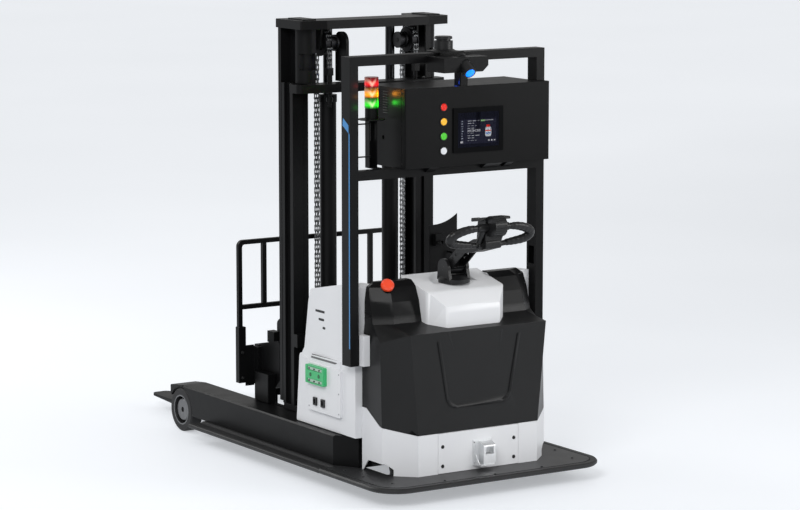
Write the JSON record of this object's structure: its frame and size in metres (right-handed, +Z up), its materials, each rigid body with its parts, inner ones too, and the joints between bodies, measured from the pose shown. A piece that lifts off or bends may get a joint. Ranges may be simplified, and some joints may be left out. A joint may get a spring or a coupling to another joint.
{
  "type": "driverless reach stacker",
  "caption": "Driverless walkie reach stacker with straddle legs, reaching two-stage mast, tilting forks, sensor gantry, control box and steering tiller.",
  "frame": {"origin": "bottom centre of the whole truck at rest, on the floor", "axes": "+X to the right seen from behind, +Y forward towards the fork tips, +Z up"},
  "size_m": [1.386, 3.026, 2.376],
  "materials": {
    "black_paint": "satin black powder coat",
    "dark_cover": "moulded dark grey, fine texture",
    "white_shell": "satin white paint",
    "white_plastic": "glossy white moulding",
    "bumper_rubber": "moulded rubber",
    "tyre_black": "solid polyurethane tyre",
    "steel": "bare steel",
    "chain_steel": "oiled steel chain",
    "rod_chrome": "chromed rod",
    "handle_plastic": "soft black plastic",
    "stop_red": "red",
    "lamp_yellow": "yellow lens",
    "lamp_green": "green lens",
    "lamp_white": "white lens",
    "signal_lens": "tinted lens, three colours",
    "charger_green": "green moulding",
    "screen": "display glass"
  },
  "bodies": {
    "chassis": {"underbody_plate": "black_paint", "rubber_bumpers": "bumper_rubber", "legs": "black_paint", "chassis_frame": "black_paint", "lower_skirt": "white_shell", "rear_panel": "white_shell", "panel_bolts": "steel", "docking_bracket": "steel", "rear_cover": "dark_cover", "tiller_housing": "white_plastic", "side_cabinets": "white_shell", "charging_block": "charger_green", "service_sockets": "handle_plastic", "battery": "black_paint", "power_unit": "black_paint", "safety_scanners": "handle_plastic", "gantry_frame": "black_paint", "control_box": "black_paint", "hmi_panel": "screen", "stack_light": "signal_lens", "stack_light_bracket": "handle_plastic", "lidar_bracket": "black_paint", "lidar_base": "handle_plastic", "spot_lamp": "handle_plastic", "valve_panel": "black_paint", "reach_cylinder": "black_paint"},
    "load_wheel_right": {"load_tyre_right": "tyre_black", "load_hub_right": "steel"},
    "load_wheel_left": {"load_tyre_left": "tyre_black", "load_hub_left": "steel"},
    "scanner_head": {"lidar_head": "handle_plastic"},
    "red_push": {"red_button": "stop_red"},
    "yellow_push": {"yellow_button": "lamp_yellow"},
    "green_push": {"green_button": "lamp_green"},
    "white_push": {"white_button": "lamp_white"},
    "emergency_stop": {"estop_button": "stop_red"},
    "steering": {"tiller_base": "handle_plastic"},
    "tiller": {"tiller_arm": "handle_plastic", "tiller_head": "handle_plastic"},
    "reverse_button": {"belly_button": "stop_red"},
    "butterfly": {"throttle": "handle_plastic"},
    "drive": {"drive_unit": "black_paint"},
    "drive_tyre": {"drive_wheel": "tyre_black"},
    "caster_right": {"caster_fork_right": "steel"},
    "caster_left": {"caster_fork_left": "steel"},
    "caster_tyre_right": {"caster_wheel_right": "tyre_black"},
    "caster_tyre_left": {"caster_wheel_left": "tyre_black"},
    "mast": {"reach_carriage": "black_paint", "outer_mast": "black_paint", "lift_cylinders": "black_paint", "reach_rod": "rod_chrome", "chain_rear_falls": "chain_steel"},
    "inner_stage": {"inner_mast": "black_paint", "lift_rods": "rod_chrome", "chain_front_falls": "chain_steel"},
    "pulley_right": {"sheave_right": "black_paint"},
    "pulley_left": {"sheave_left": "black_paint"},
    "carriage": {"fork_carriage": "black_paint"},
    "fork_frame": {"backrest_frame": "black_paint", "fork_pair": "black_paint"}
  },
  "joints": [
    {"name": "load_wheel_right_spin", "type": "hinge", "parent": "chassis", "child": "load_wheel_right", "pos_m": [0.545, 0.8075, 0.122], "axis": [1, 0, 0], "continuous": true},
    {"name": "load_wheel_left_spin", "type": "hinge", "parent": "chassis", "child": "load_wheel_left", "pos_m": [-0.545, 0.8075, 0.122], "axis": [1, 0, 0], "continuous": true},
    {"name": "scanner_spin", "type": "hinge", "parent": "chassis", "child": "scanner_head", "pos_m": [0, -0.9775, 2.3], "axis": [0, 0, 1], "continuous": true},
    {"name": "steer_tiller", "type": "hinge", "parent": "chassis", "child": "steering", "pos_m": [0, -1.0815, 1.049], "axis": [0, 0, 1], "range_deg": [-90, 90]},
    {"name": "steer_drive", "type": "hinge", "parent": "chassis", "child": "drive", "pos_m": [0, -1.0815, 0.3], "axis": [0, 0, 1], "range_deg": [-90, 90]},
    {"name": "tiller_tip", "type": "hinge", "parent": "steering", "child": "tiller", "pos_m": [0, -1.0745, 1.127], "axis": [1, 0, 0], "range_deg": [-30, 20]},
    {"name": "reverse_push", "type": "slide", "parent": "tiller", "child": "reverse_button", "axis": [0, 1, 0], "range_m": [0, 0.012], "stiffness_N_per_m": 1500},
    {"name": "throttle_turn", "type": "hinge", "parent": "tiller", "child": "butterfly", "pos_m": [0, -1.3925, 1.41], "axis": [1, 0, 0], "range_deg": [-15, 15], "stiffness_Nm_per_rad": 2},
    {"name": "drive_spin", "type": "hinge", "parent": "drive", "child": "drive_tyre", "pos_m": [0, -1.0815, 0.115], "axis": [1, 0, 0], "continuous": true},
    {"name": "caster_right_swivel", "type": "hinge", "parent": "chassis", "child": "caster_right", "pos_m": [0.345, -1.0515, 0.2], "axis": [0, 0, 1], "continuous": true},
    {"name": "caster_left_swivel", "type": "hinge", "parent": "chassis", "child": "caster_left", "pos_m": [-0.345, -1.0515, 0.2], "axis": [0, 0, 1], "continuous": true},
    {"name": "caster_right_spin", "type": "hinge", "parent": "caster_right", "child": "caster_tyre_right", "pos_m": [0.345, -1.0855, 0.062], "axis": [1, 0, 0], "continuous": true},
    {"name": "caster_left_spin", "type": "hinge", "parent": "caster_left", "child": "caster_tyre_left", "pos_m": [-0.345, -1.0855, 0.062], "axis": [1, 0, 0], "continuous": true},
    {"name": "mast_reach", "type": "slide", "parent": "chassis", "child": "mast", "axis": [0, 1, 0], "range_m": [0, 0.5]},
    {"name": "mast_lift", "type": "slide", "parent": "mast", "child": "inner_stage", "axis": [0, 0, 1], "range_m": [0, 1.3], "deforming": ["chain_rear_falls"]},
    {"name": "carriage_lift", "type": "slide", "parent": "inner_stage", "child": "carriage", "axis": [0, 0, 1], "range_m": [0, 1.3], "deforming": ["chain_front_falls"]},
    {"name": "sheave_right_spin", "type": "hinge", "parent": "inner_stage", "child": "pulley_right", "pos_m": [0.272, -0.2335, 2.24], "axis": [1, 0, 0], "range_deg": [-1130, 1130]},
    {"name": "sheave_left_spin", "type": "hinge", "parent": "inner_stage", "child": "pulley_left", "pos_m": [-0.272, -0.2335, 2.24], "axis": [1, 0, 0], "range_deg": [-1130, 1130]},
    {"name": "fork_tilt", "type": "hinge", "parent": "carriage", "child": "fork_frame", "pos_m": [0, 0.1725, 0.385], "axis": [1, 0, 0], "range_deg": [-2, 4]},
    {"name": "estop_push", "type": "slide", "parent": "chassis", "child": "emergency_stop", "axis": [0.2577, 0.7423, -0.6186], "range_m": [0, 0.006], "stiffness_N_per_m": 3000},
    {"name": "red_push_travel", "type": "slide", "parent": "chassis", "child": "red_push", "axis": [0, 1, 0], "range_m": [0, 0.003], "stiffness_N_per_m": 800},
    {"name": "yellow_push_travel", "type": "slide", "parent": "chassis", "child": "yellow_push", "axis": [0, 1, 0], "range_m": [0, 0.003], "stiffness_N_per_m": 800},
    {"name": "green_push_travel", "type": "slide", "parent": "chassis", "child": "green_push", "axis": [0, 1, 0], "range_m": [0, 0.003], "stiffness_N_per_m": 800},
    {"name": "white_push_travel", "type": "slide", "parent": "chassis", "child": "white_push", "axis": [0, 1, 0], "range_m": [0, 0.003], "stiffness_N_per_m": 800}
  ],
  "couplings": [
    {"joint": "steer_tiller", "follows": "steer_drive", "ratio": 1},
    {"joint": "carriage_lift", "follows": "mast_lift", "ratio": 1},
    {"joint": "sheave_right_spin", "follows": "mast_lift", "rad_per_m": 15.038},
    {"joint": "sheave_left_spin", "follows": "mast_lift", "rad_per_m": 15.038}
  ]
}
